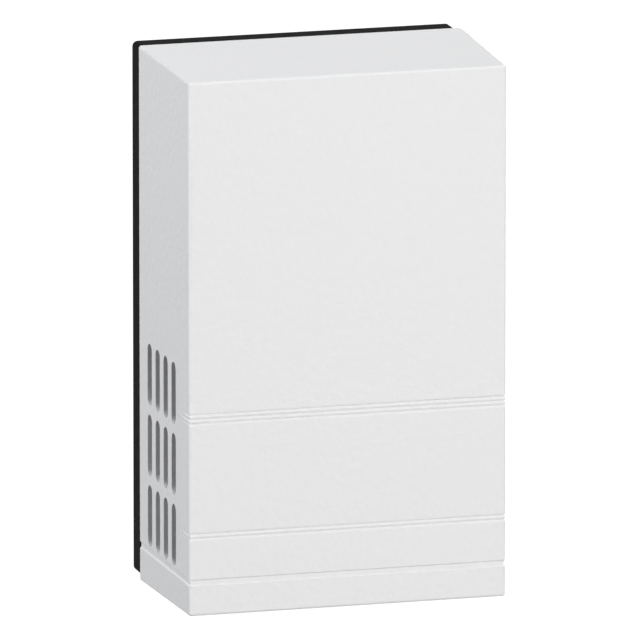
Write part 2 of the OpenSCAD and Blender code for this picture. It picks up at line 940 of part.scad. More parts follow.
// Heights of the two clamp screws of a pole: the coil lead's below and the bell wire's above
clamp_zs = [block_z - clamp_offset, block_z + clamp_offset];

module terminal_block() {
  color("gainsboro")
  difference() {
    union() {
      translate([0, 0, block_z])
      stand(block_back_d, block_back_d + block_foot)
      square([block_w, block_h], center = true);
      for (x = pole_xs) {
        translate([x, -barrel_axis_d, block_z - block_h / 2])
        cylinder(h = block_h, d = tunnel_d);
        for (z = clamp_zs) {
          into_room(x, barrel_axis_d, z)
          cylinder(h = well_h, d = tower_d);
        }
      }
    }
    for (x = pole_xs) {
      translate([x, -barrel_axis_d, block_z - block_h / 2 - over])
      cylinder(h = block_h + 2 * over, d = barrel_d + 2 * screw_gap);
      for (z = clamp_zs) {
        into_room(x, barrel_axis_d, z)
        cylinder(h = well_h + over, d = well_d);
      }
    }
    into_room(0, block_back_d - over, block_z)
    cylinder(h = block_foot + 2 * over, d = screw_d + 2 * screw_gap);
  }
}

module terminal_barrels() {
  color("khaki")
  for (x = pole_xs) {
    translate([x, -barrel_axis_d, block_z])
    difference() {
      cylinder(h = block_h, d = barrel_d, center = true);
      for (end = [barrel_web / 2, -barrel_web / 2 - block_h]) {
        translate([0, 0, end])
        cylinder(h = block_h, d = wire_bore_d);
      }
      for (z = [-clamp_offset, clamp_offset]) {
        into_room(0, 0, z)
        cylinder(h = barrel_d, d = clamp_d + 2 * screw_gap);
      }
    }
  }
}

// Slotted clamp screw that points at the wall, with its tip on the origin
module clamp_screw() {
  difference() {
    cylinder(h = clamp_l, d = clamp_d);
    translate([-clamp_d, -clamp_slot / 2, clamp_l - clamp_slot_depth])
    cube([2 * clamp_d, clamp_slot, over]);
  }
}

module terminal_screws() {
  color("lightgray")
  for (x = pole_xs) {
    into_room(x, barrel_axis_d + lead_d / 2 + clamp_gap, clamp_zs[0])
    clamp_screw();
    into_room(x, barrel_axis_d + wire_bore_d / 2 + screw_gap, clamp_zs[1])
    clamp_screw();
  }
}

module block_screw() {
  color("lightgray")
  into_room(0, block_back_d + block_foot, block_z)
  fixing_screw(block_foot + block_back_d - blind_floor - screw_spare);
}

// Point of a smooth curve through b and c, at a share t of the way
function glide(a, b, c, d, t) =
  0.5 * (2 * b + (c - a) * t + (2 * a - 5 * b + 4 * c - d) * t * t + (3 * b - a - 3 * c + d) * t * t * t);

// Smooth path through route points, which keeps straight on at both ends
function smooth(route) = concat(
  [route[0]],
  [
    for (i = [0:len(route) - 2], k = [1:lead_steps])
      let (last = len(route) - 1)
      glide(
        route[max(i - 1, 0)],
        route[i],
        route[i + 1],
        route[min(i + 2, last)],
        k / lead_steps
      )
  ]
);

// Coil lead from a solder tag to the lower mouth of a terminal barrel
module lead_wire(tag_y, pole_x) {
  tag_end = [tag_x, tag_y - axis_d, lug_top_z + tag_l + clamp_gap];
  mouth = [pole_x, -barrel_axis_d, block_z - block_h / 2];
  leave = tag_end + [0, 0, lead_straight];
  enter = mouth - [0, 0, lead_straight];
  route = concat(
    [tag_end, tag_end + [0, 0, lead_start], leave],
    [for (p = lead_route) leave + p[0] * (enter - leave) - [0, 0, p[1]]],
    [enter, mouth, mouth + [0, 0, lead_inset]]
  );
  path = smooth(route);
  tube(path, [for (p = path) [1, 0, 0]], lead_d, lead_sides);
}

module lead_wire_left() {
  color("firebrick")
  lead_wire(-tag_span / 2, pole_xs[0]);
}

module lead_wire_right() {
  color("black")
  lead_wire(tag_span / 2, pole_xs[1]);
}

back_plate();
front_cover();
solenoid_yoke();
yoke_screws();
coil_bobbin();
coil_winding();
coil_tape();
coil_tags();
plunger_core();
striker_tip_low();
striker_tip_high();
return_spring();
tone_plate_low();
tone_plate_high();
isolators_low();
isolators_high();
terminal_block();
terminal_barrels();
terminal_screws();
block_screw();
lead_wire_left();
lead_wire_right();
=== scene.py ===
"""Dresses a two-tone door chime: a white slotted cover, a black wall base and the works between them."""

import logging
import math
from collections.abc import Callable, Iterator
from contextlib import contextmanager
from dataclasses import dataclass
from enum import Enum
from typing import ClassVar

import bmesh
import bpy
from mathutils import Matrix, Vector


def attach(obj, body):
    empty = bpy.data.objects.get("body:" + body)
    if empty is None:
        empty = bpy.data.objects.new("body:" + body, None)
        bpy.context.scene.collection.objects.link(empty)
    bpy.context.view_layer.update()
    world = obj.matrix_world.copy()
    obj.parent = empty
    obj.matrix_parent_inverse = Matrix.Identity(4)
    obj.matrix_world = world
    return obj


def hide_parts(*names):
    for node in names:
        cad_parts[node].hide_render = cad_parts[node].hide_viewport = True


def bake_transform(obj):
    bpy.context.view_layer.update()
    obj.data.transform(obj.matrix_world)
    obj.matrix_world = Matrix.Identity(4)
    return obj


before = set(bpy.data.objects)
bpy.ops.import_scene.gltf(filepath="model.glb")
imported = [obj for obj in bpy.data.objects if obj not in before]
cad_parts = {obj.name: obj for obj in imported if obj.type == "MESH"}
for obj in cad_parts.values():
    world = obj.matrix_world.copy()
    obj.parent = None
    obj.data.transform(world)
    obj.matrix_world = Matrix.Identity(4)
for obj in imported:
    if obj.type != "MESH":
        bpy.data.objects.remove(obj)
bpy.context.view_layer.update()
LOG = logging.getLogger("door_chime")
MM = 0.001
WHITE = "#FFFFFF"
# Millimetres within which the points of a new piece are merged
WELD = 0.001
# Millimetres within which the points of a CAD copy are merged, so that short edges leave room for rounding
COPY_WELD = 0.045
# Degrees within which neighbouring faces of a CAD copy become one
LEVEL = 0.5
# Degrees over which an edge of a CAD copy is rounded
ROUNDED = 32.0
# Degrees over which an edge of a piece, a screw or a wire stays sharp in the shading
SHARP = 35.0
SCREW_SHARP = 40.0
WIRE_SHARP = 60.0
# Share of a face's normal along an axis from which the face counts as square to it
FLAT = 0.9
# Ends of the range that most values of a noise texture lie in
NOISE_LOW = 0.3
NOISE_HIGH = 0.7
# Radians that a wave texture of scale one goes through in a unit of length
WAVE_RATE = 20


class Body(Enum):
    """Bodies of the chime that a piece can ride on."""

    BASE = "base"
    COVER = "cover"
    STRIKER = "striker"


class Slot(Enum):
    """Material slots of the chime's record."""

    WHITE_MOULDING = "white_moulding"
    BLACK_MOULDING = "black_moulding"
    ZINC_STEEL = "zinc_plated_steel"
    SCREW_STEEL = "screw_steel"
    COIL_TAPE = "coil_tape"
    TINNED_BRASS = "tinned_brass"
    SPRING_STEEL = "spring_steel"
    TONE_STEEL = "tone_steel"
    ISOLATOR_RUBBER = "isolator_rubber"
    PLUNGER_STEEL = "plunger_steel"
    TERMINAL_NYLON = "terminal_nylon"
    NATURAL_NYLON = "natural_nylon"
    LEAD_RED = "lead_red"
    LEAD_BLACK = "lead_black"


class Axis(Enum):
    """Axes that a surface's marks or turns follow."""

    X = 0
    Y = 1
    Z = 2


class Note(Enum):
    """Notes of the chime, each with its own plate and tip."""

    LOW = "low"
    HIGH = "high"


class Side(Enum):
    """Sides that a coil lead goes to."""

    LEFT = "left"
    RIGHT = "right"


def linear(code: str) -> tuple[float, float, float, float]:
    """Turns an sRGB hex colour into linear red, green, blue and alpha.

    Args:
        code: Colour as a hash sign and six hex digits.

    Returns:
        Linear channels with an alpha of one.
    """
    shares = [int(code[i:i + 2], 16) / 255 for i in (1, 3, 5)]
    red, green, blue = (s / 12.92 if s <= 0.04045 else ((s + 0.055) / 1.055) ** 2.4 for s in shares)
    return red, green, blue, 1.0


def per_metre(size_mm: float) -> float:
    """Returns the texture scale whose marks are about size_mm across."""
    return 1000 / size_mm


def at(x: float, depth: float, z: float) -> Vector:
    """Returns the point in metres for an x, a depth from the wall and a height in millimetres."""
    return Vector((x, -depth, z)) * MM


def towards(azimuth: float, elevation: float) -> Vector:
    """Gives a direction away from the chime.

    Args:
        azimuth: Degrees from the front towards the right.
        elevation: Degrees above the level.

    Returns:
        A vector of length one.
    """
    turn = math.radians(azimuth)
    lift = math.radians(elevation)
    return Vector((math.sin(turn) * math.cos(lift), -math.cos(turn) * math.cos(lift), math.sin(lift)))


def add_node(
    tree: bpy.types.NodeTree,
    kind: str,
    settings: dict[str | int, object] | None = None,
    links: dict[str | int, bpy.types.NodeSocket] | None = None,
) -> bpy.types.Node:
    """Adds a shader node with its settings and links.

    Args:
        tree: Node tree that gets the node.
        kind: Type name of the node.
        settings: Values of the node's properties, or of its input sockets by name or number.
        links: Output sockets that feed its input sockets, by the input's name or number.

    Returns:
        The new node.
    """
    node = tree.nodes.new(kind)
    for key, value in (settings or {}).items():
        if isinstance(key, str) and key in node.bl_rna.properties:
            setattr(node, key, value)
        else:
            node.inputs[key].default_value = value
    for key, socket in (links or {}).items():
        tree.links.new(socket, node.inputs[key])
    return node


@dataclass(frozen=True)
class Finish:
    """Surface of one real material.

    Attributes:
        name: The material and how its surface was made.
        colour: Main colour as sRGB hex.
        roughness: Middle of the roughness.
        shade: Colour of its darker places, as sRGB hex; in the white styrene, painted shade in the pits of
            its grain.
        spread: How far the roughness goes either way.
    """

    name: str
    colour: str
    roughness: float
    shade: str
    spread: ClassVar[float]

    def material(self) -> bpy.types.Material:
        """Makes the finish's material the first time it is asked for.

        Returns:
            The one material of this finish.
        """
        made = bpy.data.materials.get(self.name)
        if made is None:
            made = bpy.data.materials.new(self.name)
            made.use_nodes = True
            tree = made.node_tree
            self.dress(tree, tree.nodes["Principled BSDF"])
        return made

    def dress(self, tree: bpy.types.NodeTree, shader: bpy.types.Node) -> None:
        """Sets the shader up; each kind of finish has its own way.

        Args:
            tree: Node tree of the material.
            shader: Its main shader.
        """
        raise NotImplementedError

    def uneven(self, tree: bpy.types.NodeTree, shader: bpy.types.Node, noise: bpy.types.Node) -> None:
        """Lets a noise vary the colour and the roughness.

        Args:
            tree: Node tree of the material.
            shader: Its main shader.
            noise: Noise node that drives both.
        """
        mix = add_node(
            tree,
            "ShaderNodeMix",
            {"data_type": "RGBA", 6: linear(self.shade), 7: linear(self.colour)},
            {0: noise.outputs["Fac"]},
        )
        tree.links.new(mix.outputs[2], shader.inputs["Base Color"])
        rough = add_node(
            tree,
            "ShaderNodeMapRange",
            {
                "From Min": NOISE_LOW,
                "From Max": NOISE_HIGH,
                "To Min": self.roughness + self.spread,
                "To Max": self.roughness - self.spread,
            },
            {"Value": noise.outputs["Fac"]},
        )
        tree.links.new(rough.outputs["Result"], shader.inputs["Roughness"])


@dataclass(frozen=True)
class MouldedPlastic(Finish):
    """Plastic or rubber from a mould: the tool's grain in relief, and a faint mottle in the colour.

    Attributes:
        mottle_mm: Size of the mottle.
        grain_mm: Size of the tool's grain.
        grain_height_mm: Height of the tool's grain.
        gloss: Specular level of the plastic's skin.
    """

    mottle_mm: float
    grain_mm: float
    grain_height_mm: float
    gloss: float = 0.5
    spread: ClassVar[float] = 0.04

    def dress(self, tree: bpy.types.NodeTree, shader: bpy.types.Node) -> None:
        """Adds the mottle and the grain to the shader.

        Args:
            tree: Node tree of the material.
            shader: Its main shader.
        """
        place = add_node(tree, "ShaderNodeTexCoord")
        # Mottle that mixes the colour towards the shade colour; in the white styrene it is painted shade in
        # the pits of the grain
        mottle = add_node(
            tree,
            "ShaderNodeTexNoise",
            {"Scale": per_metre(self.mottle_mm), "Detail": 3.0},
            {"Vector": place.outputs["Object"]},
        )
        self.uneven(tree, shader, mottle)
        grain = add_node(
            tree,
            "ShaderNodeTexNoise",
            {"Scale": per_metre(self.grain_mm), "Detail": 2.0, "Roughness": 0.6},
            {"Vector": place.outputs["Object"]},
        )
        relief = add_node(
            tree,
            "ShaderNodeBump",
            {"Strength": 1.0, "Distance": self.grain_height_mm * MM},
            {"Height": grain.outputs["Fac"]},
        )
        tree.links.new(relief.outputs["Normal"], shader.inputs["Normal"])
        shader.inputs["Specular IOR Level"].default_value = self.gloss


@dataclass(frozen=True)
class WorkedMetal(Finish):
    """Bare or plated metal whose tool marks run one way.

    Attributes:
        marks: Direction that the marks run in.
        mark_mm: Width of one mark.
        run_mm: Length of one mark.
        mark_height_mm: Height of the marks.
    """

    marks: Axis
    mark_mm: float
    run_mm: float
    mark_height_mm: float
    spread: ClassVar[float] = 0.07

    def dress(self, tree: bpy.types.NodeTree, shader: bpy.types.Node) -> None:
        """Adds the tool marks to the shader.

        Args:
            tree: Node tree of the material.
            shader: Its main shader.
        """
        shader.inputs["Metallic"].default_value = 1.0
        scale = [per_metre(self.mark_mm)] * 3
        scale[self.marks.value] = per_metre(self.run_mm)
        place = add_node(tree, "ShaderNodeTexCoord")
        stretch = add_node(
            tree,
            "ShaderNodeMapping",
            {"Scale": scale},
            {"Vector": place.outputs["Object"]},
        )
        marks = add_node(
            tree,
            "ShaderNodeTexNoise",
            {"Scale": 1.0, "Detail": 3.0, "Roughness": 0.6},
            {"Vector": stretch.outputs["Vector"]},
        )
        self.uneven(tree, shader, marks)
        relief = add_node(
            tree,
            "ShaderNodeBump",
            {"Strength": 0.6, "Distance": self.mark_height_mm * MM},
            {"Height": marks.outputs["Fac"]},
        )
        tree.links.new(relief.outputs["Normal"], shader.inputs["Normal"])


@dataclass(frozen=True)
class WoundSurface(Finish):
    """Surface that shows turns of wire side by side along an axis.

    Attributes:
        along: Axis that the turns lie side by side on.
        turn_mm: Spacing of the turns.
        turn_height_mm: Height of the turns.
        metallic: One for bare wire, nought under a film.
        coat: Weight of the clear film over the colour.
        coat_roughness: Roughness of that film.
        mottle_turns: Turns that one patch of the mottle spans.
    """

    along: Axis
    turn_mm: float
    turn_height_mm: float
    metallic: float
    coat: float
    coat_roughness: float = 0.18
    mottle_turns: int = 4
    spread: ClassVar[float] = 0.05

    def dress(self, tree: bpy.types.NodeTree, shader: bpy.types.Node) -> None:
        """Adds the turns and a faint mottle to the shader.

        Args:
            tree: Node tree of the material.
            shader: Its main shader.
        """
        shader.inputs["Metallic"].default_value = self.metallic
        shader.inputs["Coat Weight"].default_value = self.coat
        shader.inputs["Coat Roughness"].default_value = self.coat_roughness
        place = add_node(tree, "ShaderNodeTexCoord")
        mottle = add_node(
            tree,
            "ShaderNodeTexNoise",
            {"Scale": per_metre(self.mottle_turns * self.turn_mm), "Detail": 3.0},
            {"Vector": place.outputs["Object"]},
        )
        self.uneven(tree, shader, mottle)
        turns = add_node(
            tree,
            "ShaderNodeTexWave",
            {
                "bands_direction": self.along.name,
                "Scale": per_metre(self.turn_mm) * 2 * math.pi / WAVE_RATE,
                "Distortion": 0.3,
                "Detail": 1.0,
            },
            {"Vector": place.outputs["Object"]},
        )
        relief = add_node(
            tree,
            "ShaderNodeBump",
            {"Strength": 0.7, "Distance": self.turn_height_mm * MM},
            {"Height": turns.outputs["Fac"]},
        )
        tree.links.new(relief.outputs["Normal"], shader.inputs["Normal"])


# Impact styrene from a spark-eroded tool: matt white, even from the front and mottled where light grazes it.
# The real grain is about 0.1 mm, too fine for the render, so it is drawn at 3.2 mm, and the shade in its pits
# is painted into the colour as a mottle at 1.5 mm.
WHITE_STYRENE = MouldedPlastic(
    "impact_styrene_spark_eroded_white",
    colour="#EBEBEB",
    roughness=0.58,
    shade="#E9E9E9",
    mottle_mm=1.5,
    grain_mm=3.2,
    grain_height_mm=0.28,
    gloss=0.4,
)
# ABS from a lightly etched tool: near-black, with hardly any sheen to grey it
BLACK_ABS = MouldedPlastic(
    "abs_satin_moulded_black",
    colour="#1E1D1D",
    roughness=0.6,
    shade="#181717",
    mottle_mm=4.0,
    grain_mm=0.4,
    grain_height_mm=0.01,
    gloss=0.007,
)
# Unfilled nylon: warm off-white with the soft shine of a polished tool
NATURAL_NYLON = MouldedPlastic(
    "nylon_moulded_natural",
    colour="#E3DCC6",
    roughness=0.4,
    shade="#D8CFB4",
    mottle_mm=3.0,
    grain_mm=0.9,
    grain_height_mm=0.006,
)
# Glass-filled nylon for the terminals: greyer and drier than the unfilled one
TERMINAL_NYLON = MouldedPlastic(
    "glass_filled_nylon_moulded_grey",
    colour="#CFCEC8",
    roughness=0.5,
    shade="#BFBEB7",
    mottle_mm=1.5,
    grain_mm=0.35,
    grain_height_mm=0.01,
)
# Soft black rubber: dull, with a bloom that lightens it in patches
ISOLATOR_RUBBER = MouldedPlastic(
    "rubber_moulded_black",
    colour="#2B2B2D",
    roughness=0.8,
    shade="#1E1E20",
    mottle_mm=2.5,
    grain_mm=0.5,
    grain_height_mm=0.014,
    gloss=0.3,
)
# PVC insulation from an extruder's die: even and slightly glossy
RED_PVC = MouldedPlastic(
    "pvc_extruded_red",
    colour="#A3241F",
    roughness=0.36,
    shade="#8E1B18",
    mottle_mm=1.8,
    grain_mm=0.4,
    grain_height_mm=0.005,
)
BLACK_PVC = MouldedPlastic(
    "pvc_extruded_black",
    colour="#222224",
    roughness=0.36,
    shade="#19191B",
    mottle_mm=1.8,
    grain_mm=0.4,
    grain_height_mm=0.005,
)
# Cold-rolled strip with bright zinc: cool grey with faint rolling lines
ZINC_STEEL = WorkedMetal(
    "steel_strip_zinc_plated",
    colour="#B9BDC3",
    roughness=0.34,
    shade="#9DA2AA",
    marks=Axis.Z,
    mark_mm=0.35,
    run_mm=9.0,
    mark_height_mm=0.006,
)
# Zinc-plated screws: as the strip, a little brighter and with short marks
SCREW_STEEL = WorkedMetal(
    "screw_steel_zinc_plated",
    colour="#C2C3C4",
    roughness=0.3,
    shade="#A3A5A8",
    marks=Axis.X,
    mark_mm=0.25,
    run_mm=1.6,
    mark_height_mm=0.005,
)
# Ground bar steel under clear lacquer: long fine lines along the plate, and a bright sheen
TONE_STEEL = WorkedMetal(
    "bar_steel_ground_lacquered",
    colour="#C9CACB",
    roughness=0.28,
    shade="#ABADAF",
    marks=Axis.Z,
    mark_mm=0.22,
    run_mm=24.0,
    mark_height_mm=0.006,
)
# Soft iron off a lathe: fine lines across the bar, a little darker than plated steel
PLUNGER_IRON = WorkedMetal(
    "soft_iron_turned",
    colour="#9C9B99",
    roughness=0.32,
    shade="#7F7E7C",
    marks=Axis.Y,
    mark_mm=0.2,
    run_mm=6.0,
    mark_height_mm=0.006,
)
# Drawn music wire: dark grey with a blue cast and lines along the wire
SPRING_WIRE = WorkedMetal(
    "spring_wire_drawn",
    colour="#8D9198",
    roughness=0.3,
    shade="#6B6F77",
    marks=Axis.Y,
    mark_mm=0.18,
    run_mm=2.5,
    mark_height_mm=0.004,
)
# Tin over brass sheet: pale and soft, with smears where it flowed
TINNED_BRASS = WorkedMetal(
    "brass_sheet_tinned",
    colour="#C6C4BB",
    roughness=0.3,
    shade="#A9A696",
    marks=Axis.Z,
    mark_mm=0.5,
    run_mm=1.5,
    mark_height_mm=0.01,
)
# Drawn brass rod, sawn to length: yellow with fine lines along the rod
TERMINAL_BRASS = WorkedMetal(
    "brass_rod_drawn",
    colour="#C9A752",
    roughness=0.28,
    shade="#A98A3E",
    marks=Axis.Z,
    mark_mm=0.2,
    run_mm=5.0,
    mark_height_mm=0.005,
)
# Frozen solder: bright with a slight skin
SOLDER = WorkedMetal(
    "tin_solder_frozen",
    colour="#BDBEC0",
    roughness=0.24,
    shade="#9B9DA0",
    marks=Axis.Z,
    mark_mm=0.6,
    run_mm=1.2,
    mark_height_mm=0.02,
)
# Enamelled magnet wire: deep orange under varnish
MAGNET_WIRE = WoundSurface(
    "magnet_wire_enamelled",
    colour="#B5672F",
    roughness=0.3,
    shade="#8A4820",
    along=Axis.X,
    turn_mm=0.4,
    turn_height_mm=0.06,
    metallic=1.0,
    coat=0.0,
)
# Polyester film tape: amber and glossy, with the turns beneath it showing as faint ribs
FILM_TAPE = WoundSurface(
    "polyester_film_tape_amber",
    colour="#D8A22B",
    roughness=0.3,
    shade="#C4891B",
    along=Axis.X,
    turn_mm=0.9,
    turn_height_mm=0.02,
    metallic=0.0,
    coat=0.5,
)

NODE_FINISHES: dict[str, Finish] = {
    "front_cover": WHITE_STYRENE,
    "back_plate": BLACK_ABS,
    "solenoid_yoke": ZINC_STEEL,
    "yoke_screws": SCREW_STEEL,
    "coil_bobbin": NATURAL_NYLON,
    "coil_winding": MAGNET_WIRE,
    "coil_tape": FILM_TAPE,
    "coil_tags": TINNED_BRASS,
    "plunger_core": PLUNGER_IRON,
    "striker_tip_low": NATURAL_NYLON,
    "striker_tip_high": NATURAL_NYLON,
    "return_spring": SPRING_WIRE,
    "tone_plate_low": TONE_STEEL,
    "tone_plate_high": TONE_STEEL,
    "isolators_low": ISOLATOR_RUBBER,
    "isolators_high": ISOLATOR_RUBBER,
    "terminal_block": TERMINAL_NYLON,
    "terminal_barrels": TERMINAL_BRASS,
    "terminal_screws": SCREW_STEEL,
    "block_screw": SCREW_STEEL,
    "lead_wire_left": RED_PVC,
    "lead_wire_right": BLACK_PVC,
}


def dress(piece: bpy.types.Object, finish: Finish) -> None:
    """Gives a piece or a node one finish all over.

    Args:
        piece: Object that gets the finish.
        finish: Finish to give it.
    """
    piece.data.materials.clear()
    piece.data.materials.append(finish.material())


def pick(piece: bpy.types.Object) -> None:
    """Makes a piece the only selected object and the active one.

    Args:
        piece: Object to pick.
    """
    bpy.ops.object.select_all(action="DESELECT")
    piece.select_set(True)
    bpy.context.view_layer.objects.active = piece


@contextmanager
def editing(piece: bpy.types.Object) -> Iterator[None]:
    """Opens a piece in edit mode with nothing selected, and closes it again.

    Args:
        piece: Object to edit.

    Yields:
        Nothing, while the piece is open.
    """
    pick(piece)
    bpy.ops.object.mode_set(mode="EDIT")
    bpy.ops.mesh.select_all(action="DESELECT")
    try:
        yield
    finally:
        bpy.ops.object.mode_set(mode="OBJECT")


def select_faces(piece: bpy.types.Object, wanted: Callable[[bmesh.types.BMFace], bool]) -> None:
    """Selects the faces of a piece in edit mode that a test wants, and no others.

    Args:
        piece: Object that is open in edit mode.
        wanted: Test of one face.
    """
    bpy.ops.mesh.select_mode(type="FACE")
    mesh = bmesh.from_edit_mesh(piece.data)
    for face in mesh.faces:
        face.select_set(wanted(face))
    mesh.select_flush_mode()
    bmesh.update_edit_mesh(piece.data)


def apply_modifier(piece: bpy.types.Object, kind: str, settings: dict[str, object]) -> None:
    """Adds a modifier to a piece and applies it.

    Args:
        piece: Object that gets it.
        kind: Type of the modifier.
        settings: Values of its properties.
    """
    pick(piece)
    modifier = piece.modifiers.new(kind.lower(), kind)
    for key, value in settings.items():
        setattr(modifier, key, value)
    bpy.ops.object.modifier_apply(modifier=modifier.name)


def close_up(piece: bpy.types.Object, sharp_deg: float = SHARP) -> None:
    """Merges a piece's doubles, turns its faces outwards and smooths its shading.

    Args:
        piece: Object to finish.
        sharp_deg: Angle over which an edge stays sharp.
    """
    with editing(piece):
        bpy.ops.mesh.select_all(action="SELECT")
        bpy.ops.mesh.remove_doubles(threshold=WELD * MM)
        bpy.ops.mesh.normals_make_consistent(inside=False)
    pick(piece)
    bpy.ops.object.shade_smooth_by_angle(angle=math.radians(sharp_deg))


def settle(piece: bpy.types.Object, name: str, finish: Finish) -> None:
    """Puts a piece's place into its mesh, and names and dresses it.

    Args:
        piece: Finished object.
        name: Name in the chime.
        finish: Finish to give it.
    """
    pick(piece)
    bpy.ops.object.transform_apply(location=True, rotation=True, scale=True)
    piece.name = name
    piece.data.name = name
    dress(piece, finish)
    LOG.info("%s: %d faces", name, len(piece.data.polygons))


def copy_of(piece: bpy.types.Object) -> bpy.types.Object:
    """Copies a piece together with its mesh.

    Args:
        piece: Object to copy.

    Returns:
        The copy, in the same place.
    """
    pick(piece)
    bpy.ops.object.duplicate()
    return bpy.context.object


def cut_slot(
    piece: bpy.types.Object,
    length_mm: float,
    width_mm: float,
    depth_mm: float,
    top_mm: float,
    turn: float = 0.0,
) -> None:
    """Cuts a straight slot into the top of a piece that stands upright on the origin.

    Args:
        piece: Object to cut.
        length_mm: Length of the slot.
        width_mm: Width of the slot.
        depth_mm: Depth of the slot.
        top_mm: Height of the piece's top.
        turn: Angle of the slot about the piece's axis, in radians.
    """
    bpy.ops.object.select_all(action="DESELECT")
    bpy.ops.mesh.primitive_cube_add(
        size=1.0,
        location=(0.0, 0.0, top_mm * MM),
        rotation=(0.0, 0.0, turn),
        scale=(length_mm * MM, width_mm * MM, 2 * depth_mm * MM),
    )
    cutter = bpy.context.object
    apply_modifier(piece, "BOOLEAN", {"operation": "DIFFERENCE", "object": cutter, "solver": "EXACT"})
    bpy.data.objects.remove(cutter)


def point_at_wall(screw: bpy.types.Object, place: tuple[float, float, float]) -> None:
    """Turns an upright screw to the wall, with its origin at an x, a depth and a height in millimetres."""
    screw.matrix_world = Matrix.Translation(at(*place)) @ Matrix.Rotation(math.pi / 2, 4, "X")


def soften(
    node: str,
    name: str,
    edge_mm: float,
    finish: Finish,
    body: Body,
    even: bool = False,
) -> None:
    """Stands in for a CAD node with the same shape, its sharp edges rounded as a tool or a press leaves them.

    Args:
        node: CAD node to copy.
        name: Name of the new piece.
        edge_mm: Width of the rounding, which gets narrower where the shape has no room for it.
        finish: Finish to give it.
        body: Body that it rides on.
        even: Whether its flat faces are split evenly first, for more room round holes.
    """
    piece = bpy.data.objects.new(name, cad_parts[node].data.copy())
    bpy.context.scene.collection.objects.link(piece)
    pick(piece)
    bpy.ops.mesh.customdata_custom_splitnormals_clear()
    with editing(piece):
        bpy.ops.mesh.select_all(action="SELECT")
        bpy.ops.mesh.remove_doubles(threshold=COPY_WELD * MM)
        bpy.ops.mesh.dissolve_limited(angle_limit=math.radians(LEVEL))
        if even:
            bpy.ops.mesh.quads_convert_to_tris(quad_method="BEAUTY", ngon_method="BEAUTY")
        bpy.ops.mesh.select_all(action="DESELECT")
        bpy.ops.mesh.select_mode(type="EDGE")
        bpy.ops.mesh.edges_select_sharp(sharpness=math.radians(ROUNDED))
        bpy.ops.mesh.bevel(offset=edge_mm * MM, segments=2, affect="EDGES", clamp_overlap=True)
    pick(piece)
    bpy.ops.object.shade_smooth_by_angle(angle=math.radians(SHARP))
    apply_modifier(piece, "WEIGHTED_NORMAL", {"mode": "FACE_AREA", "weight": 100, "keep_sharp": True})
    settle(piece, name, finish)
    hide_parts(node)
    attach(piece, body.value)


def round_wire(path: list[Vector], diameter_mm: float, roundness: int) -> bpy.types.Object:
    """Draws a round wire along a path.

    Args:
        path: Points in metres.
        diameter_mm: Thickness of the wire.
        roundness: Points that each quarter of its section gains.

    Returns:
        A closed mesh object.
    """
    bpy.ops.object.select_all(action="DESELECT")
    bpy.ops.curve.primitive_nurbs_path_add()
    wire = bpy.context.object
    curve = wire.data
    curve.splines.clear()
    spline = curve.splines.new("POLY")
    spline.points.add(len(path) - 1)
    for point, place in zip(spline.points, path):
        point.co = (*place, 1.0)
    curve.dimensions = "3D"
    curve.twist_mode = "MINIMUM"
    curve.bevel_depth = diameter_mm / 2 * MM
    curve.bevel_resolution = roundness
    curve.use_fill_caps = True
    pick(wire)
    bpy.ops.object.convert(target="MESH")
    wire = bpy.context.object
    close_up(wire, WIRE_SHARP)
    return wire


@dataclass
class Housing:
    """White cover and black wall base.

    Attributes:
        cover_edge: Rounding of the cover's vents and lines, as far as they leave room for it.
        base_edge: Rounding of the base's rims and ribs.
    """

    cover_edge: float = 0.18
    base_edge: float = 0.3

    def build(self) -> None:
        """Rounds the small edges of both mouldings and dresses them."""
        soften("front_cover", "cover_shell", self.cover_edge, WHITE_STYRENE, Body.COVER)
        soften("back_plate", "wall_base", self.base_edge, BLACK_ABS, Body.BASE)


@dataclass
class TonePlates:
    """Two steel plates that give the notes, and the rubber that they hang in.

    Attributes:
        edge: Rounding that tumbling leaves on the plates' edges.
        rubber_edge: Rounding of the isolators' rims.
    """

    edge: float = 0.3
    rubber_edge: float = 0.35

    def build(self) -> None:
        """Rounds the edges of the plates and their isolators and dresses them."""
        for note in Note:
            soften(
                f"tone_plate_{note.value}",
                f"tone_bar_{note.value}",
                self.edge,
                TONE_STEEL,
                Body.BASE,
            )
            soften(
                f"isolators_{note.value}",
                f"rubber_isolators_{note.value}",
                self.rubber_edge,
                ISOLATOR_RUBBER,
                Body.BASE,
            )


@dataclass
class Striker:
    """Iron plunger with a nylon tip at each end.

    Attributes:
        core_edge: Rounding that the lathe leaves on the plunger's ends.
        tip_edge: Rounding of the tips' collars.
    """

    core_edge: float = 0.2
    tip_edge: float = 0.25

    def build(self) -> None:
        """Rounds the edges of the plunger and its tips and dresses them."""
        soften("plunger_core", "plunger_bar", self.core_edge, PLUNGER_IRON, Body.STRIKER)
        for note in Note:
            soften(
                f"striker_tip_{note.value}",
                f"nylon_tip_{note.value}",
                self.tip_edge,
                NATURAL_NYLON,
                Body.STRIKER,
            )


